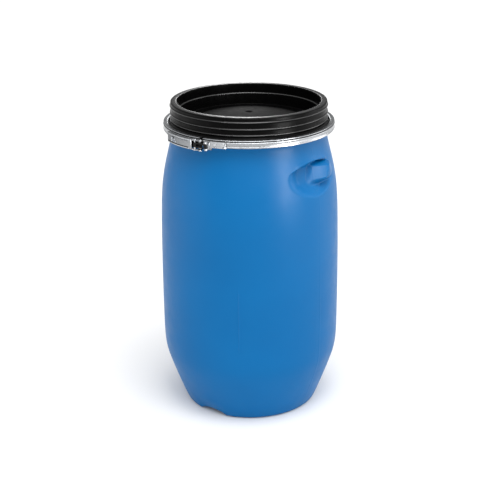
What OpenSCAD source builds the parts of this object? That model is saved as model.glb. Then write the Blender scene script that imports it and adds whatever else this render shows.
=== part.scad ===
// Blow-moulded open-head drum with an injection-moulded lid and a
// galvanised lever-lock clamping ring.
// Origin: centre of the base on the floor. +Z up, lever lock hinge towards -Y.

/* [Drum] */
// Overall height with the lid on
total_h = 650; // [600:5:700]
// Largest radius, at the belly
belly_r = 185.2; // [182:0.1:190]
// Wall thickness of the drum
drum_wall = 3.5; // [2.5:0.1:5]
// Height of the drum's own sealing rim
rim_z = 598; // [590:1:600]
// Outer radius of the drum's rim bead and of the lid's flange
flange_r = 170.8; // [168:0.1:171]

/* [Grips] */
// Direction of the right-hand grip, measured from -Y towards +X
grip_azimuth = 82; // [60:1:100]
// Half width of the grip pocket
grip_half_w = 62; // [50:1:65]
// Half width of the straight upper edge that the fingers hook under
grip_edge_half_w = 45; // [30:1:48]
// Height of the upper edge
grip_top_z = 550; // [540:1:555]
// Height of the pocket's lowest point
grip_low_z = 486; // [480:1:500]
// Radius of the pocket's back wall from the drum's axis
grip_back_r = 150; // [146:1:155]

/* [Lid] */
// Radius of the lid's ribbed upstand, at mid rib
upstand_r = 158.9; // [157:0.1:160]
// How far each rib swells in and out
rib_swell = 0.8; // [0.2:0.1:1]
// Distance between two ribs
rib_pitch = 12.8; // [12:0.1:13.4]
// Height of the uppermost rib
top_rib_z = 641; // [639:0.5:642]
// Radius of the opening inside the upstand
recess_r = 145; // [143:0.5:147]
// Height of the ring-shaped floor that a stacked drum stands on
seat_z = 606; // [604:0.5:608]
// Radius of the domed middle
dome_r = 110; // [100:1:115]
// Height of the dome's crisp edge above that floor
dome_edge_h = 2.8; // [1.5:0.1:4]
// Rise of the domed middle above its edge
dome_rise = 15.6; // [8:0.1:18]
// Height of the ledge inside the recess
ledge_z = 629; // [624:0.5:632]

/* [Clamping ring] */
// Outer radius of the ring's rolled edges
ring_r = 173.5; // [173:0.1:175]
// Sheet thickness of the ring
ring_t = 1.2; // [1:0.1:1.3]
// Height of the ring, top to bottom
ring_h = 15.8; // [15:0.1:17]
// Half width of the gap between the ring's two ends
ring_gap_half = 9.7; // [8:0.1:10]

/* [Lever lock] */
// Distance of the three pivots from the drum's axis
pivot_r = 178.2; // [178:0.1:179]
// Sideways place of the pivot between lever and ring
pivot_x = 1; // [0:0.5:2]
// Distance from that pivot to the link's pin in the lever
throw = 12; // [11:0.5:13]
// Length of the link between its two eyes
link_len = 25; // [24:0.5:26]
// Angle that the lever's curved arm spans
lever_sweep = 28; // [26:1:50]
// How much tighter than the ring the lever's arm is curved
lever_hug = 18; // [10:1:20]
// Radius of the pins
pin_r = 1.8; // [1.6:0.1:2]

/* [Hidden] */
$fn = 96;
plastic = [0.04, 0.42, 0.72];
black = [0.05, 0.05, 0.06];
zinc = [0.74, 0.77, 0.80];
foam = [0.22, 0.22, 0.23];
ring_z = 600.5;                       // middle height of the clamping ring
lock_z = 596.5;                       // middle height of the lever lock
lock_fit = 0.07;                      // radial clearance of a pin in an eye
plate_in = ring_r + 0.1;              // inner face of the plates on the ring
plate_out = plate_in + ring_t;
link_x = pivot_x - throw;
anchor_x = link_x + link_len;
cheek_in = 8.5;                       // inner half height of the lever's channel
cheek_t = 1.5;
lug_top = 8;                          // half height to the outside of the bracket's lugs
lug_t = 1.4;
link_half = 4.5;
web_out = 181.5;                      // outer face of the lever's web
seal_az = 23;                         // angle of the seal lug from the front
seal_hole_r = 1.2;
seal_slot = [4.8, 20, 11];            // slot in the lever for the seal lug
rivet_z = ring_z - 0.7;               // height of the four rivets
rivet_r = 2.2;
rivet_hole_r = rivet_r + 0.1;
rivet_head_r = 3.2;
strap_spots = [10.2, 15.6];           // azimuths of the strap's rivets
bracket_spots = [-9, -14];            // azimuths of the bracket's rivets
above = 30;                           // enough to cut right through
floor_t = 4;                          // thickness of the drum's base
foot_hollow = 14;                     // height of the hollow under the base
notch_r = 60;                         // radius of the notches across the foot
notch_h = 9;
mouth_r = 152.5;                      // radius of the drum's mouth
edge_r = 1.4;                         // rounding of the rim bead
lid_t = 3;                            // wall thickness of the lid
gasket = [12.4, 3.1];                 // width and height of the seal

// Height, radius and slope dr/dz of the drum's wall, from foot to neck
foot = [8, 142.7, 0.42];
stations = [foot, [30, 151.6, 0.37], [105, 178, 0.3], [130, 183.1, 0.1],
            [190, belly_r - 0.2, 0.008], [240, belly_r, 0], [420, belly_r - 2.5, -0.03],
            [470, 179.8, -0.09], [510, 174, -0.19], [545, 166, -0.24],
            [572, 159.5, -0.2], [586, 157.2, -0.02]];
neck_r = 157.2;

// Smooth cubic between two stations, t from 0 to 1, as [radius, height]
function between(a, b, t) =
    let (h = b[0] - a[0], t2 = t * t, t3 = t2 * t)
    [(2 * t3 - 3 * t2 + 1) * a[1] + (t3 - 2 * t2 + t) * h * a[2]
     + (3 * t2 - 2 * t3) * b[1] + (t3 - t2) * h * b[2], a[0] + t * h];

// The drum's wall as points, moved inwards by inset
function wall(inset) =
    [for (i = [0 : len(stations) - 2]) for (j = [0 : 3])
        let (p = between(stations[i], stations[i + 1], j / 4)) [p[0] - inset, p[1]]];

// Points of an arc
function arc(c, r, a0, a1, n = 6) =
    [for (i = [0 : n]) let (a = a0 + (a1 - a0) * i / n) [c[0] + r * cos(a), c[1] + r * sin(a)]];

// Turns what it holds from the front to an azimuth counted towards +X
module at_azimuth(a) { rotate([0, 0, a]) children(); }

module revolved(points) { rotate_extrude() polygon(points); }

// ---------------------------------------------------------------- drum
module drum_outer() {
    revolved(concat([[0, foot_hollow], [112, foot_hollow], [120, 1], [124, 0], [134, 0],
                     [138.5, 2]],
                    wall(0),
                    [[neck_r, 592.6], [163.5, 594.4], [168.5, 594.4], [flange_r, 595.6],
                     [flange_r, rim_z - edge_r], [flange_r - edge_r, rim_z], [0, rim_z]]));
}

module drum_inner() {
    inside = [for (p = wall(drum_wall)) if (p[1] > 24) p];
    floor_z = foot_hollow + floor_t;
    revolved(concat([[0, floor_z], [138, floor_z], [143, floor_z + 2]], inside,
                    [[neck_r - drum_wall, 592], [mouth_r, 594], [mouth_r, rim_z + 1],
                     [0, rim_z + 1]]));
}

// Outline of a grip: straight edge on top, round below; grow widens it all round
module grip_outline(grow) {
    mid_z = 522;
    low = mid_z - grip_low_z + grow;
    polygon(concat(
        [for (i = [0 : 20]) let (a = 180 + 9 * i)
            [(grip_half_w + grow) * cos(a), mid_z + low * sin(a)]],
        [[grip_edge_half_w + grow, grip_top_z + grow],
         [-grip_edge_half_w - grow, grip_top_z + grow]]));
}

module grip_blocks(grow) {
    for (side = [0, 180])
        at_azimuth(grip_azimuth + side)
            translate([0, grow - grip_back_r, 0])
                rotate([90, 0, 0])
                    linear_extrude(60) grip_outline(grow);
}

module base_notches() {
    translate([0, 200, notch_h - notch_r]) rotate([90, 0, 0]) cylinder(r = notch_r, h = 400);
}

module drum_body() {
    color(plastic)
    difference() {
        union() {
            difference() { drum_outer(); drum_inner(); }
            intersection() { drum_outer(); grip_blocks(drum_wall); }
        }
        grip_blocks(0);
        base_notches();
    }
}

// ---------------------------------------------------------------- lid
function rib(z) = upstand_r + rib_swell * cos(360 * (z - top_rib_z) / rib_pitch);

module lid() {
    lip = total_h - 5;
    dome = [for (i = [0 : 8]) let (r = dome_r * (1 - i / 8))
               [r, seat_z + dome_edge_h + dome_rise * (1 - pow(r / dome_r, 2))]];
    under = [for (i = [8 : -1 : 0]) dome[i] - [0, lid_t]];
    color(black)
    revolved(concat(
        [[flange_r, rim_z + 0.5], [flange_r, 605.6], [flange_r - 1.2, 606.8], [161.2, 606.8]],
        [for (z = [608.2 : rib_pitch / 8 : lip - 0.5]) [rib(z), z]],
        arc([153.3, lip], 5, 0, 90), arc([recess_r + 4.5, total_h - 4.5], 4.5, 90, 180),
        [[recess_r, ledge_z], [142, ledge_z - 1.5], [141, seat_z + 2.5], [138.5, seat_z],
         [dome_r + 1.2, seat_z]],
        dome, under,
        [[dome_r + 3, seat_z - lid_t], [140, seat_z - lid_t], [143.9, seat_z],
         [144.8, ledge_z - 3.5], [recess_r + 2.8, ledge_z - 1], [recess_r + 2.8, 644],
         [recess_r + 5, total_h - lid_t + 0.2], [153, total_h - lid_t + 0.2], [155.6, 644],
         [155.6, 604.5], [153.8, 603], [153.8, 601.3], [167, 601.3], [167.6, rim_z + 0.5]]));
}

module lid_gasket() {
    color(foam)
    rotate_extrude()
        translate([154.2, rim_z + 0.2]) square(gasket);
}

// ---------------------------------------------------------------- clamping ring
module ring_section() {
    roll = 1.5;
    lip_r = 163;
    reach = ring_h / 2;
    for (z = [ring_z - reach + roll, ring_z + reach - roll])
        translate([ring_r - roll, z]) circle(r = roll, $fn = 24);
    translate([ring_r - roll - 0.2, ring_z - reach + roll]) square([ring_t, ring_h - 2 * roll]);
    for (z = [ring_z - reach, ring_z + reach - ring_t])
        translate([lip_r, z]) square([ring_r - roll - lip_r, ring_t]);
}

// Radial hole or rivet shank at an azimuth and height
module radial(a, z, r, r0, r1) {
    at_azimuth(a) translate([0, -r0, z]) rotate([90, 0, 0]) cylinder(r = r, h = r1 - r0, $fn = 32);
}

module clamp_ring() {
    color(zinc)
    difference() {
        rotate_extrude() ring_section();
        translate([-ring_gap_half, -200, ring_z - above])
            cube([2 * ring_gap_half, 100, 2 * above]);
        for (a = concat(strap_spots, bracket_spots)) radial(a, rivet_z, rivet_hole_r, 165, 180);
    }
}

// Curved plate lying on the ring, from azimuth a0 to a1
module curved_plate(a0, a1, z0, z1, r0, r1) {
    at_azimuth(a0 - 90)
        rotate_extrude(angle = a1 - a0)
            translate([r0, z0]) square([r1 - r0, z1 - z0]);
}

// Disc of a given radius about one of the lock's pivots
module pivot_disc(x, r, z0, z1) {
    translate([x, -pivot_r, z0]) cylinder(r = r, h = z1 - z0, $fn = 48);
}

module anchor_strap() {
    barrel_r = 3.2;
    half = 7.5;                       // half height of the hinge barrel
    color(zinc)
    difference() {
        union() {
            curved_plate(4.2, 8, lock_z - half, lock_z + half, plate_in, plate_out);
            curved_plate(6.5, 17.6, ring_z - 7, ring_z + 5.3, plate_in, plate_out);
            pivot_disc(anchor_x, barrel_r, lock_z - half, lock_z + half);
            translate([anchor_x - 1, -pivot_r, lock_z - half])
                cube([barrel_r + 0.5, pivot_r - plate_in + 0.2, 2 * half]);
        }
        pivot_disc(anchor_x, pin_r + lock_fit, lock_z - above, lock_z + above);
        translate([anchor_x - 8, -pivot_r - 6, lock_z - link_half - 0.5])
            cube([16, pivot_r + 5.9 - plate_out, 2 * link_half + 1]);
        for (a = strap_spots) radial(a, rivet_z, rivet_hole_r, 165, 180);
    }
}

module rivets(spots) {
    for (a = spots) {
        radial(a, rivet_z, rivet_r, ring_r - 2.2, plate_out + 0.5);
        radial(a, rivet_z, rivet_head_r, plate_out + 0.05, plate_out + 0.7);
    }
}

module strap_rivets() { color(zinc) rivets(strap_spots); }

module bracket_rivets() { color(zinc) rivets(bracket_spots); }

// Pin with a flat head at each end
module headed_pin(x, z0, z1, head) {
    pivot_disc(x, pin_r, z0, z1);
    pivot_disc(x, 3, z0, z0 + head);
    pivot_disc(x, 3, z1 - head, z1);
}

module anchor_pin() { color(zinc) headed_pin(anchor_x, lock_z - 8.4, lock_z + 8.4, 0.8); }

module link_pin() {
    reach = cheek_in + cheek_t + 1.1;
    color(zinc) headed_pin(link_x, lock_z - reach, lock_z + reach, 1);
}

module link() {
    z0 = lock_z - link_half;
    z1 = lock_z + link_half;
    eye_r = 3;
    color(zinc)
    difference() {
        union() {
            for (x = [link_x, anchor_x]) pivot_disc(x, eye_r, z0, z1);
            translate([link_x, -pivot_r - eye_r, z0]) cube([link_len, 1.3, z1 - z0]);
        }
        for (x = [link_x, anchor_x]) pivot_disc(x, pin_r + lock_fit, z0 - 1, z1 + 1);
        translate([link_x + 3.8, -pivot_r - eye_r - 1, lock_z - 2.6])
            cube([link_len - 7.6, 4, 5.2]);
        // the anchor eye stays open towards the ring
        translate([anchor_x - 6, -pivot_r - 0.8, z0 - 1]) cube([12, 8, z1 - z0 + 2]);
    }
}

// ---------------------------------------------------------------- lever
// Arc round the lever's own centre, which lies off the drum's axis so that the tip hugs the ring
module lever_arc(sweep, z0, z1, depth) {
    web_start = 5.4;
    arm_r = web_out - lever_hug;
    at_azimuth(-web_start)
        translate([0, -lever_hug, 0])
            curved_plate(-sweep, 0, z0, z1, arm_r - depth, arm_r);
}

module lever() {
    z0 = lock_z - cheek_in - cheek_t;
    z1 = lock_z + cheek_in + cheek_t;
    cheek_depth = 5.9;
    color(zinc)
    difference() {
        union() {
            lever_arc(lever_sweep, z0, z1, ring_t);
            for (z = [z0, z1 - cheek_t]) {
                lever_arc(lever_sweep, z, z + cheek_t, cheek_depth);
                curved_plate(-5.6, -0.4, z, z + cheek_t, web_out - cheek_depth, web_out);
                pivot_disc(pivot_x, 4, z, z + cheek_t);
            }
        }
        for (x = [pivot_x, link_x]) pivot_disc(x, pin_r + lock_fit, z0 - 1, z1 + 1);
        // room for the ring's rolled edges
        translate([0, 0, z0 - 1]) cylinder(r = ring_r + 0.4, h = z1 - z0 + 2, $fn = 180);
        // slot for the seal lug
        at_azimuth(-seal_az)
            translate([-seal_slot[0] / 2, -190, lock_z - seal_slot[2] / 2]) cube(seal_slot);
    }
}

module lever_pivots() {
    color(zinc)
    for (side = [-1, 1])
        translate([0, 0, lock_z]) mirror([0, 0, side < 0 ? 1 : 0]) {
            pivot_disc(pivot_x, pin_r, 5.9, cheek_in + cheek_t + 0.6);
            pivot_disc(pivot_x, 2.6, 5.5, 6.4);
            pivot_disc(pivot_x, 3, cheek_in + cheek_t + 0.1, cheek_in + cheek_t + 1);
        }
}

module lever_bracket() {
    color(zinc)
    difference() {
        union() {
            curved_plate(-18, 1.2, lock_z - lug_top, lock_z + lug_top, plate_in, plate_out);
            for (z = [lock_z - lug_top, lock_z + lug_top - lug_t]) {
                pivot_disc(pivot_x, 3.6, z, z + lug_t);
                translate([pivot_x - 3.6, -pivot_r, z])
                    cube([7.2, pivot_r - plate_in - 0.2, lug_t]);
            }
        }
        pivot_disc(pivot_x, pin_r + lock_fit, lock_z - above, lock_z + above);
        for (a = bracket_spots) radial(a, rivet_z, rivet_hole_r, 165, 180);
    }
}

// Tab through the lever's slot, with a hole for a security seal
module seal_lug() {
    color(zinc)
    difference() {
        union() {
            curved_plate(-seal_az - 4, -seal_az + 3.5, lock_z - 5, lock_z + 7,
                         plate_in, plate_out);
            at_azimuth(-seal_az)
                translate([-0.75, -184.5, lock_z - 4]) cube([1.5, 10, 8]);
        }
        at_azimuth(-seal_az)
            translate([-5, -182.4, lock_z]) rotate([0, 90, 0])
                cylinder(r = seal_hole_r, h = 10, $fn = 24);
    }
}

drum_body();
lid();
lid_gasket();
clamp_ring();
anchor_strap();
strap_rivets();
anchor_pin();
link();
link_pin();
lever();
lever_pivots();
lever_bracket();
bracket_rivets();
seal_lug();
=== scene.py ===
"""Looks of the open-head drum: one function per sub-part and per material, in metres."""
import math

import bmesh
import bpy
import numpy as np
from mathutils import Matrix, Vector


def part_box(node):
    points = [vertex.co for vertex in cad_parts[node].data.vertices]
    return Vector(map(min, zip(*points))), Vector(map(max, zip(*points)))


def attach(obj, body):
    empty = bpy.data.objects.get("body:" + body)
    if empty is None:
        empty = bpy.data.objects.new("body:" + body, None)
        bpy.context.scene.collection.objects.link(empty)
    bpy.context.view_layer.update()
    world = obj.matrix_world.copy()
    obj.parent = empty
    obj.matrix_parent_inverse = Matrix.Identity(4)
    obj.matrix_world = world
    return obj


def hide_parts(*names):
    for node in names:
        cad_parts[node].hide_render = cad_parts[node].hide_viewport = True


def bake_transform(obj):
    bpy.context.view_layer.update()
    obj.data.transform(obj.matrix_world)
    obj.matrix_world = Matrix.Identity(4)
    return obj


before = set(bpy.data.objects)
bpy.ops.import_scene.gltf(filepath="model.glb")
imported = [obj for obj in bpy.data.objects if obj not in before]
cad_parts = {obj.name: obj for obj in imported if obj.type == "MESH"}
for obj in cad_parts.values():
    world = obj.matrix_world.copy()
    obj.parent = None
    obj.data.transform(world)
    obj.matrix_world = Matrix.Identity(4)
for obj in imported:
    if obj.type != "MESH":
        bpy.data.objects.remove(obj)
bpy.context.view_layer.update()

MM = 0.001

# ------------------------------------------------------------------ measures, in mm
# What the CAD nodes give, in metres for the two boxes
RING_LOW, RING_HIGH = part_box("clamp_ring")
LEVER_LOW, LEVER_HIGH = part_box("lever")
LID_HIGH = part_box("lid")[1]
TOTAL_H = LID_HIGH[2] / MM
FLANGE_R = LID_HIGH[0] / MM
RING_R = RING_HIGH[0] / MM

# Directions round the drum, counted from -Y towards +X, in degrees
GRIP_AZIMUTH = 82
NOTCH_AZIMUTH = -4
LINE_AZIMUTH = 24.7
CAMERA_AZIMUTH = 32

# Height, radius and slope of the drum's wall, from foot to neck, as the CAD body has them
STATIONS = [(8, 142.7, 0.42), (30, 151.6, 0.37), (105, 178, 0.30), (130, 183.1, 0.10),
            (190, 185, 0.008), (240, 185.2, 0), (420, 182.7, -0.03), (470, 179.8, -0.09),
            (510, 174, -0.19), (545, 166, -0.24), (572, 159.5, -0.20), (586, 157.2, -0.02)]
WALL = 3.5
FLOOR_Z = 17.5
GRIP_R = 175

# Grip: a scoop under a straight brow, with a slanting finger bar across its far half
GRIP_TOP, GRIP_LOW, GRIP_MID = 551.0, 481.0, 524.0
GRIP_HALF, GRIP_EDGE_HALF, GRIP_DROP = 72.0, 50.0, 8.0
GRIP_DEEP, GRIP_BROW = 18.0, 9.0
BAR_TOP, BAR_LOW, BAR_OUT, BAR_RUN, BAR_LEAN = 537.0, 515.0, 25.0, 42.0, 4.5
BAR_START, BAR_SLANT, BAR_FOOT = -15.0, 0.45, 518.0
CREASE_DEEP, CREASE_HALF = 5.0, 1.3
LIP_OUT, LIP_HALF = 1.1, 3.5

# Traces of the mould, and the notches in the foot
SEAM_OUT, SEAM_HALF = 0.25, 0.9
LINE_OUT, LINE_HALF_DEG, LINE_LOW, LINE_TOP = 1.0, 0.25, 172, 312
NOTCH_R, NOTCH_HALF, NOTCH_HIGH, NOTCH_REACH = 140, 33, 9.5, 34

# Lid
DOME_R, DOME_EDGE, DOME_RISE = 110.0, 608.8, 15.6
GATE_R, GATE_DEEP = 7.5, 3.0
WALL_IN, WALL_OUT = 145.0, 158.0
LEDGE_Z, LID_FLOOR, SKIRT_FOOT = 629.0, 606.0, 598.6
RIBS = (641.2, 627.6, 615.6)
RIB_OUT, RIB_HALF, RIB_CREST = 1.6, 1.5, 159.4

# Clamping ring
RING_SHEET = 0.5
RING_GAP = 1.25
RING_LIP = 163.4
RING_TOP, RING_FOOT = RING_HIGH[2] / MM + 1.2, RING_LOW[2] / MM
GROOVE_TOP, GROOVE_LOW, GROOVE_R = RING_TOP - 1.5, RING_TOP - 4.0, 171.3

# The lever's arc has its own centre, off the drum's axis, so that the tip hugs the ring
LEVER_START, LEVER_HUG, LEVER_WEB = 5.4, 18.0, 181.5
BEAD_FROM, BEAD_TO = 3.0, 27.0

# ------------------------------------------------------------------ camera and light values
# The photograph's view, seen from the drum's middle
CAMERA_ELEVATION, CAMERA_DISTANCE = 20.785, 2.4375
CAMERA_LENS, CAMERA_SENSOR, CAMERA_ROLL = 83.12, 36, -0.457
AIM_Z, LIGHT_Z = 0.35, 0.3
FLOOR_HALF = 30
FLOOR_TONE = 0.84

# World: azimuth from the camera, elevation, cosines where it starts and is full, brightness
AMBIENT = 0.10
GLOWS = [(-100, 15, 0.35, 0.85, 0.45), (88, 22, 0.3, 0.9, 0.85), (0, 90, 0.35, 0.95, 1.05),
         (180, 0, 0.5, 0.9, 0.2), (5, 35, 0.5, 0.95, 0.9)]
# Area lights: azimuth from the camera, elevation, distance, width, height, power
KEY_LIGHT = ("top", 20, 68, 2.4, 1.2, 1.2, 22)
# The same for lights that only show as gloss on a surface
SOFTBOXES = [("gloss_key", 46, 17, 1.0, 0.32, 0.42, 9.5), ("gloss_right", 98, 20, 1.2, 0.6, 0.4, 3),
             ("gloss_low_right", 80, -6, 1.2, 1.3, 0.5, 2.2),
             ("gloss_left", -80, 0, 1.2, 1.2, 1.1, 4),
             ("gloss_back", 181.5, 30, 1.5, 0.2, 0.36, 1.6),
             ("gloss_front", -3, 46, 1.3, 1.2, 0.16, 9)]


# ------------------------------------------------------------------ mesh helpers
def round_point(r, azimuth, z):
    a = math.radians(azimuth)
    return (r * math.sin(a), -r * math.cos(a), z)


def smooth(x, lo, hi):
    """0 below lo, 1 above hi, smooth between."""
    t = np.clip((np.asarray(x, float) - lo) / (hi - lo), 0, 1)
    return t * t * (3 - 2 * t)


def hump(x, half):
    """1 at x = 0, falling off evenly on both sides over about half."""
    return np.exp(-(x / half) ** 2)


def turn_from(azimuth, direction):
    """Angle from a direction, between -180 and 180 degrees."""
    return (azimuth - direction + 180) % 360 - 180


def arc(cx, cz, r, a0, a1, n=6):
    return [(cx + r * math.cos(math.radians(a0 + (a1 - a0) * i / n)),
             cz + r * math.sin(math.radians(a0 + (a1 - a0) * i / n))) for i in range(n + 1)]


def make_mesh(name, verts, faces, material, smooth_angle=40):
    mesh = bpy.data.meshes.new(name)
    mesh.from_pydata([tuple(v) for v in verts], [], faces)
    mesh.validate()
    mesh.update()
    obj = bpy.data.objects.new(name, mesh)
    bpy.context.scene.collection.objects.link(obj)
    mesh.materials.append(material)
    for p in mesh.polygons:
        p.use_smooth = True
    mesh.set_sharp_from_angle(angle=math.radians(smooth_angle))
    merge(obj)
    return obj


def merge(obj, distance=1e-6):
    """Joins points at the same place and turns all faces outwards."""
    bm = bmesh.new()
    bm.from_mesh(obj.data)
    bmesh.ops.remove_doubles(bm, verts=bm.verts, dist=distance)
    loose = [v for v in bm.verts if not v.link_faces]
    bmesh.ops.delete(bm, geom=loose, context="VERTS")
    bmesh.ops.recalc_face_normals(bm, faces=bm.faces)
    bm.to_mesh(obj.data)
    bm.free()
    obj.data.update()


def grid_faces(rows, cols, wrap_cols, wrap_rows=False):
    faces = []
    for i in range(rows if wrap_rows else rows - 1):
        for j in range(cols if wrap_cols else cols - 1):
            a, b = i * cols + j, i * cols + (j + 1) % cols
            c, d = ((i + 1) % rows) * cols + (j + 1) % cols, ((i + 1) % rows) * cols + j
            faces.append((a, b, c, d))
    return faces


def revolve(name, profile, azimuths, material, closed=True, shape=None, smooth_angle=40):
    """Turns a profile of (radius, height) in mm round Z. shape may move the points of the grid."""
    turns = np.asarray(azimuths, float)
    r = np.array([p[0] for p in profile], float)[:, None] * np.ones_like(turns)[None, :]
    z = np.array([p[1] for p in profile], float)[:, None] * np.ones_like(turns)[None, :]
    if shape:
        r, z = shape(r, z, turns[None, :] * np.ones_like(r))
    a = np.radians(turns)
    grid = np.stack([r * np.sin(a), -r * np.cos(a), z], -1) * MM
    faces = grid_faces(len(profile), len(turns), True, closed)
    return make_mesh(name, grid.reshape(-1, 3).tolist(), faces, material, smooth_angle)


def thicken(path, half):
    """Closed outline of a bent sheet from its middle line."""
    pts = np.array(path, float)
    along = np.gradient(pts, axis=0)
    along /= np.linalg.norm(along, axis=1)[:, None]
    side = np.stack([along[:, 1], -along[:, 0]], 1) * half
    return [tuple(p) for p in pts + side] + [tuple(p) for p in (pts - side)[::-1]]


def end_faces(steps, count):
    """The two faces that close a swept outline of count points."""
    last = (steps - 1) * count
    return [tuple(range(count)), tuple(reversed(range(last, last + count)))]


# ------------------------------------------------------------------ materials
class Nodes:
    """Small helper to write node trees briefly."""

    def __init__(self, name):
        self.material = bpy.data.materials.new(name)
        self.material.use_nodes = True
        self.tree = self.material.node_tree
        self.shader = self.tree.nodes["Principled BSDF"]

    def add(self, kind, **values):
        node = self.tree.nodes.new(kind)
        for key, value in values.items():
            if key in node.inputs:
                node.inputs[key].default_value = value
            else:
                setattr(node, key, value)
        return node

    def link(self, a, out, b, into):
        self.tree.links.new(a.outputs[out], b.inputs[into])

    def place(self, scale=(1, 1, 1)):
        """Object coordinates, stretched by scale."""
        coord = self.add("ShaderNodeTexCoord")
        mapping = self.add("ShaderNodeMapping", Scale=scale)
        self.link(coord, "Object", mapping, "Vector")
        return mapping

    def noise(self, scale, detail=3.0, stretch=(1, 1, 1), roughness=0.5):
        place = self.place(stretch)
        node = self.add("ShaderNodeTexNoise", Scale=scale, Detail=detail, Roughness=roughness)
        self.link(place, "Vector", node, "Vector")
        return node

    def ramp(self, source, stops, out="Fac"):
        node = self.add("ShaderNodeValToRGB")
        elements = node.color_ramp.elements
        for element, (at, colour) in zip(elements, stops):
            element.position = at
            element.color = (*colour, 1)
        self.link(source, out, node, "Fac")
        return node

    def spread(self, source, lo, hi, out="Fac", src_lo=0.3, src_hi=0.7):
        node = self.add("ShaderNodeMapRange")
        node.inputs["From Min"].default_value = src_lo
        node.inputs["From Max"].default_value = src_hi
        node.inputs["To Min"].default_value = lo
        node.inputs["To Max"].default_value = hi
        self.link(source, out, node, "Value")
        return node

    def bump(self, source, height, strength=1.0, out="Fac", before=None):
        node = self.add("ShaderNodeBump", Strength=strength, Distance=height)
        self.link(source, out, node, "Height")
        if before:
            self.link(before, "Normal", node, "Normal")
        return node


def grey(v):
    return (v, v, v)


def blue_polyethylene():
    """Satin blow-moulded plastic: faint cloudiness, vertical die lines and an orange-peel skin."""
    n = Nodes("blue_polyethylene")
    cloud = n.noise(7, 4)
    colour = n.ramp(cloud, [(0.3, (0.000, 0.120, 0.340)), (0.7, (0.000, 0.130, 0.362))])
    n.link(colour, "Color", n.shader, "Base Color")
    rough = n.spread(n.noise(40, 4, roughness=0.6), 0.34, 0.44)
    n.link(rough, "Result", n.shader, "Roughness")
    lines = n.bump(n.noise(90, 2, stretch=(1, 1, 0.02)), 0.00012, 0.5)
    peel = n.bump(n.noise(420, 2), 0.00012, 0.5, before=lines)
    n.link(peel, "Normal", n.shader, "Normal")
    n.shader.inputs["Specular IOR Level"].default_value = 0.12
    return n.material


def on_lid_dome(n, reach):
    """1 on the lid's dome apart from the gate's dimple, 0 elsewhere."""
    inside = n.spread(reach, 1.0, 0.0, out="Value", src_lo=(DOME_R - 1) * MM, src_hi=DOME_R * MM)
    off_gate = n.spread(reach, 0.0, 1.0, out="Value", src_lo=(GATE_R - 1) * MM, src_hi=GATE_R * MM)
    on_dome = n.add("ShaderNodeMath", operation="MULTIPLY")
    n.link(inside, "Result", on_dome, 0)
    n.link(off_gate, "Result", on_dome, 1)
    return on_dome


def painted_highlight_gloss(n, reach):
    """The rim's top, the crests of the ribs and the inner ledge get a raised specular level:
    painted highlight lines.
    """
    split = n.add("ShaderNodeSeparateXYZ")
    n.link(n.place(), "Vector", split, "Vector")
    gloss = n.spread(split, 0.045, 0.5, out="Z",
                     src_lo=(TOTAL_H - 0.6) * MM, src_hi=(TOTAL_H - 0.1) * MM)
    crest = n.spread(reach, 0.0, 0.6, out="Value",
                     src_lo=(RIB_CREST - 0.8) * MM, src_hi=RIB_CREST * MM)
    over_flange = n.spread(split, 0.0, 1.0, out="Z",
                           src_lo=(LID_FLOOR + 5) * MM, src_hi=(LID_FLOOR + 6) * MM)
    inside_wall = n.spread(reach, 0.7, 0.0, out="Value",
                           src_lo=(WALL_IN - 0.3) * MM, src_hi=(WALL_IN - 0.1) * MM)
    on_ledge = n.spread(split, 0.0, 1.0, out="Z",
                        src_lo=LEDGE_Z * MM, src_hi=(LEDGE_Z + 0.5) * MM)
    for across, height in ((crest, over_flange), (inside_wall, on_ledge)):
        more = n.add("ShaderNodeMath", operation="MULTIPLY_ADD")
        n.link(across, "Result", more, 0)
        n.link(height, "Result", more, 1)
        n.link(gloss, 0, more, 2)
        gloss = more
    n.link(gloss, 0, n.shader, "Specular IOR Level")


def black_polyethylene():
    """Glossy injection-moulded plastic with hairline scuffs; the dome has a dull grain and a
    lighter colour, which is partly that grain and partly painted light from overhead on its
    up-facing top.
    """
    n = Nodes("black_polyethylene")
    skin = n.ramp(n.noise(60, 4), [(0.3, grey(0.0009)), (0.75, grey(0.0016))])
    # The dome's lighter colour: partly its dull grain, partly painted light for the overhead light
    # on its up-facing top.
    matt_and_lit_dome = n.ramp(n.noise(700, 3), [(0.3, grey(0.007)), (0.75, grey(0.010))])
    reach = n.add("ShaderNodeVectorMath", operation="LENGTH")
    n.link(n.place((1, 1, 0)), "Vector", reach, 0)
    on_dome = on_lid_dome(n, reach)
    mix = n.add("ShaderNodeMix", data_type="RGBA")
    n.link(on_dome, "Value", mix, 0)
    n.link(skin, "Color", mix, 6)
    n.link(matt_and_lit_dome, "Color", mix, 7)
    n.link(mix, 2, n.shader, "Base Color")
    rough = n.spread(n.noise(110, 5, roughness=0.65), 0.24, 0.36)
    duller = n.add("ShaderNodeMath", operation="MULTIPLY_ADD")
    duller.inputs[1].default_value = 0.3
    n.link(on_dome, "Value", duller, 0)
    n.link(rough, "Result", duller, 2)
    n.link(duller, "Value", n.shader, "Roughness")
    wave = n.bump(n.noise(18, 1), 0.0003, 0.4)
    grain = n.bump(n.noise(900, 2), 0.00002, 0.2, before=wave)
    n.link(grain, "Normal", n.shader, "Normal")
    # Raised specular on the rim, rib crests and ledge: painted highlight lines.
    painted_highlight_gloss(n, reach)
    return n.material


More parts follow.
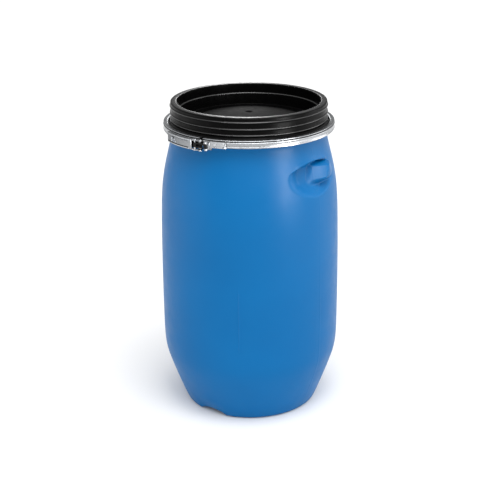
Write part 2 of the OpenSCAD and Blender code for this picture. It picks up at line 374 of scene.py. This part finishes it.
def zinc_steel(name, base=0.33, rough_lo=0.22, rough_hi=0.36):
    """Galvanised sheet: crystal spangle, drawn lines round the drum and small dull patches."""
    n = Nodes(name)
    place = n.place()
    spangle = n.add("ShaderNodeTexVoronoi", Scale=260.0)
    n.link(place, "Vector", spangle, "Vector")
    tint = n.ramp(spangle, [(0.0, (base * 0.95, base * 0.98, base * 1.02)),
                            (1.0, (base * 1.04, base * 1.07, base * 1.11))], out="Color")
    n.link(tint, "Color", n.shader, "Base Color")
    n.shader.inputs["Metallic"].default_value = 1.0
    rough = n.spread(n.noise(90, 5, roughness=0.7), rough_lo, rough_hi)
    n.link(rough, "Result", n.shader, "Roughness")
    drawn = n.bump(n.noise(300, 2, stretch=(0.05, 0.05, 4)), 0.00004, 0.5)
    dents = n.bump(n.noise(30, 1), 0.0002, 0.3, before=drawn)
    n.link(dents, "Normal", n.shader, "Normal")
    return n.material


def dark_foam():
    """Closed-cell foam: small dark cells with pores between them."""
    n = Nodes("dark_foam")
    cells = n.add("ShaderNodeTexVoronoi", Scale=900.0)
    n.link(n.place(), "Vector", cells, "Vector")
    colour = n.ramp(cells, [(0.0, grey(0.02)), (0.6, grey(0.06))], out="Distance")
    n.link(colour, "Color", n.shader, "Base Color")
    n.shader.inputs["Roughness"].default_value = 0.85
    pores = n.bump(cells, 0.0003, 0.6, out="Distance")
    n.link(pores, "Normal", n.shader, "Normal")
    return n.material


BLUE = blue_polyethylene()
BLACK = black_polyethylene()
ZINC = zinc_steel("zinc_sheet")
RIVET = zinc_steel("zinc_rivet", base=0.50, rough_lo=0.25, rough_hi=0.4)
# Near-black zinc: painted shade for the groove under the ring's bead, the line along the lever and
# the parts tucked under the lever.
SHADE_ZINC = zinc_steel("zinc_painted_shade", base=0.02, rough_lo=0.5, rough_hi=0.8)
FOAM = dark_foam()


# ------------------------------------------------------------------ drum body
def wall_radius(z):
    """Outer radius of the drum's wall at height z, both in mm."""
    for (z0, r0, s0), (z1, r1, s1) in zip(STATIONS, STATIONS[1:]):
        if z <= z1:
            h = z1 - z0
            t = max(0.0, (z - z0) / h)
            return ((2 * t ** 3 - 3 * t ** 2 + 1) * r0 + (t ** 3 - 2 * t ** 2 + t) * h * s0
                    + (3 * t ** 2 - 2 * t ** 3) * r1 + (t ** 3 - t ** 2) * h * s1)
    return STATIONS[-1][1]


def grip_half_width(z):
    low = np.sqrt(np.clip(1 - ((GRIP_MID - z) / (GRIP_MID - GRIP_LOW)) ** 2, 0, 1))
    rise = np.clip((z - GRIP_MID) / (GRIP_TOP - GRIP_MID), 0, 1)
    high = GRIP_HALF - (GRIP_HALF - GRIP_EDGE_HALF) * rise ** 2
    return np.where(z < GRIP_MID, GRIP_HALF * low, high)


def grip_edge(u):
    """Height of the grip's upper edge, which drops away from the middle."""
    return GRIP_TOP - GRIP_DROP * (u / GRIP_EDGE_HALF) ** 2


def finger_bar(u, z):
    """How far the finger bar stands out of the scoop."""
    band = smooth(z, BAR_LOW - 16, BAR_LOW) * (1 - smooth(z, BAR_TOP, BAR_TOP + 8))
    along = u - BAR_SLANT * (z - BAR_FOOT) - BAR_START
    lean = BAR_LEAN * np.clip((z - BAR_LOW) / (BAR_TOP - BAR_LOW), 0, 1) * smooth(along, 0, 10)
    return (BAR_OUT * np.clip(along / BAR_RUN, 0, 1) + lean) * band


def grip_depth(u, z):
    """How far the grip is pressed in, at u mm sideways of its middle and height z."""
    inside = smooth(grip_half_width(z) - np.abs(u), -4, 36)
    top = grip_edge(u)
    under_edge = 1 - smooth(z, top - 2.0, top)
    scoop = GRIP_DEEP * smooth(z, GRIP_LOW - 6, GRIP_LOW + 34)
    scoop = scoop - (GRIP_DEEP - GRIP_BROW) * smooth(z, BAR_TOP - 2, GRIP_TOP)
    crease = CREASE_DEEP * hump(z - top + 2 * CREASE_HALF, CREASE_HALF)
    crease = crease * smooth(GRIP_EDGE_HALF - np.abs(u), 0, 12)
    return ((scoop - finger_bar(u, z)) * inside + crease) * under_edge


def grip_relief(r, z, turn):
    """What a grip adds to the wall's radius: the pressed part, a raised lip and the mould seam."""
    u = np.radians(turn) * GRIP_R
    on_wall = (np.abs(turn) < 40) & (z > 470) & (z < 560) & (r > 140)
    lip = LIP_OUT * hump(z - grip_edge(u) - 3, LIP_HALF)
    lip = lip * smooth(GRIP_EDGE_HALF + 6 - np.abs(u), 0, 14)
    seam = SEAM_OUT * hump(u, SEAM_HALF) * smooth(z, 20, 60) * (1 - smooth(z, 570, 585))
    return np.where(on_wall, lip - grip_depth(u, z), 0) + np.where(r > 140, seam, 0)


def lift_notch(r, z, turn):
    """Raises the foot over a notch."""
    x = np.radians(turn) * NOTCH_R
    arch = NOTCH_HIGH * np.clip(1 - (x / NOTCH_HALF) ** 2, 0, 1) ** 0.8 * (np.abs(turn) < 60)
    foot = (z < NOTCH_REACH) & (r > 116) & (r < 160)
    return np.where(foot, arch + z * (1 - arch / NOTCH_REACH), z)


def shape_body(r, z, azimuth):
    """Presses in the two grips, lifts the two notches of the foot and adds the mould's traces."""
    line = LINE_OUT * hump(azimuth - LINE_AZIMUTH, LINE_HALF_DEG)
    line = line * smooth(z, LINE_LOW, LINE_LOW + 8) * (1 - smooth(z, LINE_TOP - 12, LINE_TOP))
    r = r + np.where(r > 140, line, 0)
    for side in (0, 180):
        r = r + grip_relief(r, z, turn_from(azimuth, GRIP_AZIMUTH + side))
        z = lift_notch(r, z, turn_from(azimuth, NOTCH_AZIMUTH + side))
    return r, z


def body_azimuths():
    """Close together at the grips and at the mould line, wider elsewhere."""
    fine = [GRIP_AZIMUTH + side + a * 0.4 for side in (0, 180) for a in range(-60, 61)]
    line = [LINE_AZIMUTH + a * 0.2 for a in range(-4, 5)]
    coarse = [a for a in np.arange(0, 360, 1.25) if abs(a - LINE_AZIMUTH) > 1.2
              and all(abs(turn_from(a, GRIP_AZIMUTH + side)) > 24.4 for side in (0, 180))]
    return sorted([a % 360 for a in fine] + line + list(coarse))


def body_heights():
    low = list(np.arange(8, 34, 2.0)) + list(np.arange(34, 476, 6.0))
    grip = list(np.arange(476, 540, 1.5)) + list(np.arange(540, 552, 0.5))
    return low + grip + list(np.arange(552, 586, 2.0)) + [586.0]


def drum_body():
    # Hollow under the base, then the foot that the drum stands on
    foot = [(0.0, 13.0), (60, 12.6), (104, 12), (114, 10.5), (119, 5), (123.5, 0.8), (127, 0),
            (132, 0.0)] + arc(133.0, 9.6, 9.6, 274, 330, 8)[1:]
    outer = [(wall_radius(z), z) for z in body_heights()]
    # Neck, rolled rim and mouth
    neck = [(157.2, 591.5), (157.6, 592.8), (159.5, 593.7), (163.5, 594.3)]
    bead = arc(169.4, 595.8, 1.4, -90, 0, 4) + arc(169.4, 596.6, 1.4, 0, 90, 4)
    mouth = [(156, 598)] + arc(154.3, 596.2, 1.8, 90, 180, 4) + [(153.0, 592)]
    # Inside
    inner = [(wall_radius(z) - WALL, z) for z in reversed(body_heights()) if z > 24]
    floor = [(142.5, FLOOR_Z + 3), (138, FLOOR_Z + 0.7), (118, FLOOR_Z), (60, FLOOR_Z),
             (0.0, FLOOR_Z)]
    profile = foot + outer + neck + bead + mouth + inner + floor
    body = revolve("drum_shell", profile, body_azimuths(), BLUE, closed=False,
                   shape=shape_body, smooth_angle=55)
    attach(body, "drum")
    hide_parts("drum_body")
    return body


# ------------------------------------------------------------------ lid
def rib_radius(z):
    """Radius of the upstand: a plain wall with three narrow rounded ribs."""
    return WALL_OUT + sum(RIB_OUT * math.exp(-((z - rib) / RIB_HALF) ** 2) for rib in RIBS)


def dome_height(r):
    """The raised disc swells to the middle, where the moulding gate leaves a small dimple."""
    dimple = GATE_DEEP * (1 - float(smooth(r, 3.5, 8.5)))
    return DOME_EDGE + DOME_RISE * (1 - (r / DOME_R) ** 2) - dimple


def lid_outside():
    """Skirt, flange, ribbed wall and rim."""
    path = [(FLANGE_R, SKIRT_FOOT), (FLANGE_R, 605.2)]
    path += arc(FLANGE_R - 1.6, 605.2, 1.6, 15, 90, 5)
    path += [(162.4, 606.8)] + arc(162.4, 609.6, 2.8, 270, 200, 5)
    path += [(rib_radius(z), z) for z in np.arange(610.8, TOTAL_H - 3.6, 0.5)]
    return path + arc(155.4, TOTAL_H - 3.0, 2.6, 0, 80, 6) + [(153.5, TOTAL_H), (149.5, TOTAL_H)]


def lid_recess():
    """Inner wall with its ledge, the flat floor and the domed middle with the gate's dimple."""
    path = arc(WALL_IN + 2.2, TOTAL_H - 2.2, 2.2, 85, 180, 7)
    path += [(WALL_IN, 642), (WALL_IN, LEDGE_Z + 1.5)]
    path += arc(WALL_IN - 1.2, LEDGE_Z + 0.9, 1.2, 0, 85, 4)
    path += arc(WALL_IN - 2.2, LEDGE_Z + 0.3, 1.6, 100, 180, 4)
    path += [(WALL_IN - 4.1, LID_FLOOR + 3)] + arc(140.0, LID_FLOOR + 0.8, 0.8, 0, -90, 3)
    path += [(126, LID_FLOOR), (116, LID_FLOOR), (DOME_R + 1.2, LID_FLOOR)]
    path += [(DOME_R + 0.4, LID_FLOOR + 0.4), (DOME_R + 0.2, DOME_EDGE - 0.4)]
    radii = [DOME_R - 0.5] + list(np.arange(105, 9, -5.0))
    radii += [8.5, 8, 7.3, 6.5, 5.7, 4.9, 4, 3, 1.5, 0]
    return path + [(r, dome_height(r)) for r in radii]


def lid_underside():
    """Dome from below, the hollow upstand and the seat on the drum's rim."""
    path = [(DOME_R * i / 10, 604.5 + 15 * (1 - (i / 10) ** 2)) for i in range(11)]
    path += [(113, 603), (140, 603), (143.9, 606), (144.8, 621.5), (147.8, 624), (147.8, 644)]
    path += [(150, 647.2), (153, 647.2), (155.6, 644), (155.6, 604.5)]
    return path + [(153.8, 603), (153.8, 601.3), (167, 601.3), (167.6, SKIRT_FOOT)]


def lid():
    profile = lid_outside() + lid_recess() + lid_underside()
    shell = revolve("lid_shell", profile, np.arange(0, 360, 1.25), BLACK, smooth_angle=35)
    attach(shell, "cover")
    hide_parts("lid")
    return shell


# ------------------------------------------------------------------ clamping ring
def ring_outline():
    """Section of the ring: flat lips, a beaded edge, a groove and a slightly hollow band."""
    r, top, low, half = RING_R, RING_TOP, RING_FOOT, RING_SHEET
    upper = [(RING_LIP, top - 1.6), (163.9, top - 0.75), (165.2, top - half), (168, top - half)]
    upper += [(r - 2.0, top - half)] + arc(r - 1.7, top - half - 0.45, 0.45, 80, -70, 5)
    groove = [(r - 2.0, GROOVE_TOP), (GROOVE_R, GROOVE_TOP - 0.3)]
    groove += [(GROOVE_R - 0.1, (GROOVE_TOP + GROOVE_LOW) / 2), (GROOVE_R, GROOVE_LOW + 0.3)]
    band = arc(r - 1.5, GROOVE_LOW - 1.0, 1.0, 85, -10, 5)
    band += [(r - 1.1, GROOVE_LOW - 2.6), (r - 1.6, GROOVE_LOW - 4.0), (r - 1.65, low + 5.8)]
    band += [(r - 1.1, low + 4.4)] + arc(r - 1.3, low + 3.0, 0.8, 10, -60, 4)
    lower = [(169.6, low + 1.2), (166.4, low + half), (RING_LIP, low + half)]
    return thicken(upper + groove + band + lower, half)


def darken_groove(ring):
    """Paints the groove under the ring's bead near-black: painted shade, where the bead keeps the
    light out.
    """
    ring.data.materials.append(SHADE_ZINC)
    for face in ring.data.polygons:
        r = math.hypot(face.center.x, face.center.y) / MM
        z = face.center.z / MM
        if r < GROOVE_R + 1.0 and GROOVE_LOW - 0.6 < z < GROOVE_TOP + 0.3:
            face.material_index = 1


def clamp_ring():
    """Sweeps the section round the drum, from one side of the gap to the other."""
    outline = ring_outline()
    steps = np.linspace(RING_GAP, 360 - RING_GAP, 321)
    verts = [round_point(r * MM, a, z * MM) for a in steps for r, z in outline]
    faces = [tuple(reversed(f)) for f in grid_faces(len(steps), len(outline), True)]
    faces += end_faces(len(steps), len(outline))
    ring = make_mesh("ring_band", verts, faces, ZINC, smooth_angle=60)
    darken_groove(ring)
    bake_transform(ring)
    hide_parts("clamp_ring")
    return ring


# ------------------------------------------------------------------ lever
def lever_strip(z, height, proud, material, name):
    """Low pressed line along the lever's face, from beside its pins to near its tip."""
    cx, cy, _ = round_point(LEVER_HUG, -LEVER_START, 0)
    r, half = LEVER_WEB - LEVER_HUG, height / 2
    outline = [(r - 0.3, z - half), (r + proud * 0.6, z - half), (r + proud, z - half * 0.4),
               (r + proud, z + half * 0.4), (r + proud * 0.6, z + half), (r - 0.3, z + half)]
    verts = []
    steps = np.linspace(BEAD_FROM, BEAD_TO, 41)
    for a in steps:
        for rr, zz in outline:
            x, y, _ = round_point(rr, -LEVER_START - a, 0)
            verts.append(((x + cx) * MM, (y + cy) * MM, zz * MM))
    faces = grid_faces(len(steps), len(outline), True) + end_faces(len(steps), len(outline))
    strip = make_mesh(name, verts, faces, material)
    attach(strip, "lever_arm")
    return strip


def lever_lines():
    low, high = LEVER_LOW[2] / MM, LEVER_HIGH[2] / MM
    lever_strip(high - 1.7, 2.4, 1.0, ZINC, "lever_top_bead")
    lever_strip(low + 1.3, 2.2, 0.9, ZINC, "lever_low_bead")
    # A thin near-black strip under the lower bead: painted shade of a groove, not a cut.
    lever_strip(low + 3.2, 1.7, 0.1, SHADE_ZINC, "lever_groove_painted_shade")


# ------------------------------------------------------------------ camera, light, stage
def camera():
    """The photograph's view: distance, height and angle of view seen from the drum's middle."""
    elevation, a = math.radians(CAMERA_ELEVATION), math.radians(CAMERA_AZIMUTH)
    middle = Vector((0, 0, TOTAL_H * MM / 2))
    back = Vector((math.sin(a) * math.cos(elevation), -math.cos(a) * math.cos(elevation),
                   math.sin(elevation)))
    data = bpy.data.cameras.new("camera")
    data.lens = CAMERA_LENS
    data.sensor_width = CAMERA_SENSOR
    obj = bpy.data.objects.new("camera", data)
    bpy.context.scene.collection.objects.link(obj)
    turn = back.to_track_quat("Z", "Y").to_matrix().to_4x4()
    roll = Matrix.Rotation(math.radians(CAMERA_ROLL), 4, "Z")
    obj.matrix_world = Matrix.Translation(middle + back * CAMERA_DISTANCE) @ turn @ roll
    bpy.context.scene.camera = obj
    return obj


def area_light(name, azimuth, elevation, distance, width, height, power):
    """Rectangular light that looks at the drum, its azimuth counted from the camera."""
    data = bpy.data.lights.new(name, "AREA")
    data.shape = "RECTANGLE"
    data.size = width
    data.size_y = height
    data.energy = power
    obj = bpy.data.objects.new(name, data)
    bpy.context.scene.collection.objects.link(obj)
    e = math.radians(elevation)
    where = Vector(round_point(distance * math.cos(e), CAMERA_AZIMUTH + azimuth,
                               distance * math.sin(e) + LIGHT_Z))
    obj.location = where
    obj.rotation_euler = (where - Vector((0, 0, AIM_Z))).to_track_quat("Z", "Y").to_euler()
    obj.visible_camera = False
    return obj


def world_light():
    """A dim studio with large soft glows: two walls, a ceiling, the back and the front."""
    world = bpy.data.worlds.new("studio")
    bpy.context.scene.world = world
    world.use_nodes = True
    tree = world.node_tree
    coord = tree.nodes.new("ShaderNodeTexCoord")
    background = tree.nodes["Background"]
    background.inputs["Color"].default_value = (1, 1, 1, 1)
    total = None
    for azimuth, elevation, lo, hi, power in GLOWS:
        e = math.radians(elevation)
        x, y, _ = round_point(math.cos(e), CAMERA_AZIMUTH + azimuth, 0)
        facing = tree.nodes.new("ShaderNodeVectorMath")
        facing.operation = "DOT_PRODUCT"
        facing.inputs[1].default_value = (x, y, math.sin(e))
        tree.links.new(coord.outputs["Generated"], facing.inputs[0])
        glow = tree.nodes.new("ShaderNodeMapRange")
        glow.interpolation_type = "SMOOTHSTEP"
        dark = 0 if total else AMBIENT
        for key, value in (("From Min", lo), ("From Max", hi),
                           ("To Min", dark), ("To Max", dark + power)):
            glow.inputs[key].default_value = value
        tree.links.new(facing.outputs["Value"], glow.inputs["Value"])
        if total:
            both = tree.nodes.new("ShaderNodeMath")
            tree.links.new(total.outputs[0], both.inputs[0])
            tree.links.new(glow.outputs[0], both.inputs[1])
            glow = both
        total = glow
    tree.links.new(total.outputs[0], background.inputs["Strength"])


def stage_floor():
    floor = bpy.data.meshes.new("floor")
    corners = [(x * FLOOR_HALF, y * FLOOR_HALF, 0) for x, y in ((-1, -1), (1, -1), (1, 1), (-1, 1))]
    floor.from_pydata(corners, [], [(0, 1, 2, 3)])
    obj = bpy.data.objects.new("floor", floor)
    bpy.context.scene.collection.objects.link(obj)
    paint = Nodes("floor_paint")
    paint.shader.inputs["Base Color"].default_value = (*grey(FLOOR_TONE), 1)
    paint.shader.inputs["Roughness"].default_value = 0.9
    paint.shader.inputs["Specular IOR Level"].default_value = 0.0
    floor.materials.append(paint.material)


def studio():
    bpy.context.scene.view_settings.view_transform = "Standard"
    world_light()
    area_light(*KEY_LIGHT)
    for softbox in SOFTBOXES:
        area_light(*softbox).visible_diffuse = False
    stage_floor()


# ------------------------------------------------------------------ carried-over CAD nodes
def paint_node(node, material, edge=0.0):
    """Gives a carried-over CAD node its material and, with edge, rounds its edges by that much."""
    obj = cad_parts[node]
    if not obj.data.materials:
        obj.data.materials.append(material)
    for slot in obj.material_slots:
        slot.material = material
    if edge:
        weld = obj.modifiers.new("weld", "WELD")
        weld.merge_threshold = 1e-6
        flat = obj.modifiers.new("flat", "DECIMATE")
        flat.decimate_type = "DISSOLVE"
        flat.angle_limit = math.radians(0.4)
        bevel = obj.modifiers.new("bevel", "BEVEL")
        bevel.width = edge
        bevel.segments = 2
        bevel.limit_method = "ANGLE"
        bevel.angle_limit = math.radians(35)
        bevel.harden_normals = True


camera()
studio()
drum_body()
lid()
clamp_ring()
lever_lines()
for part in ("anchor_strap", "lever", "seal_lug"):
    paint_node(part, ZINC, 0.3 * MM)
# The bracket and the link, tucked in round the lever's pins, get the near-black zinc as painted
# shade.
for part in ("lever_bracket", "link"):
    paint_node(part, SHADE_ZINC, 0.3 * MM)
for part in ("strap_rivets", "anchor_pin", "link_pin", "lever_pivots", "bracket_rivets"):
    paint_node(part, RIVET, 0.2 * MM)
paint_node("lid_gasket", FOAM)
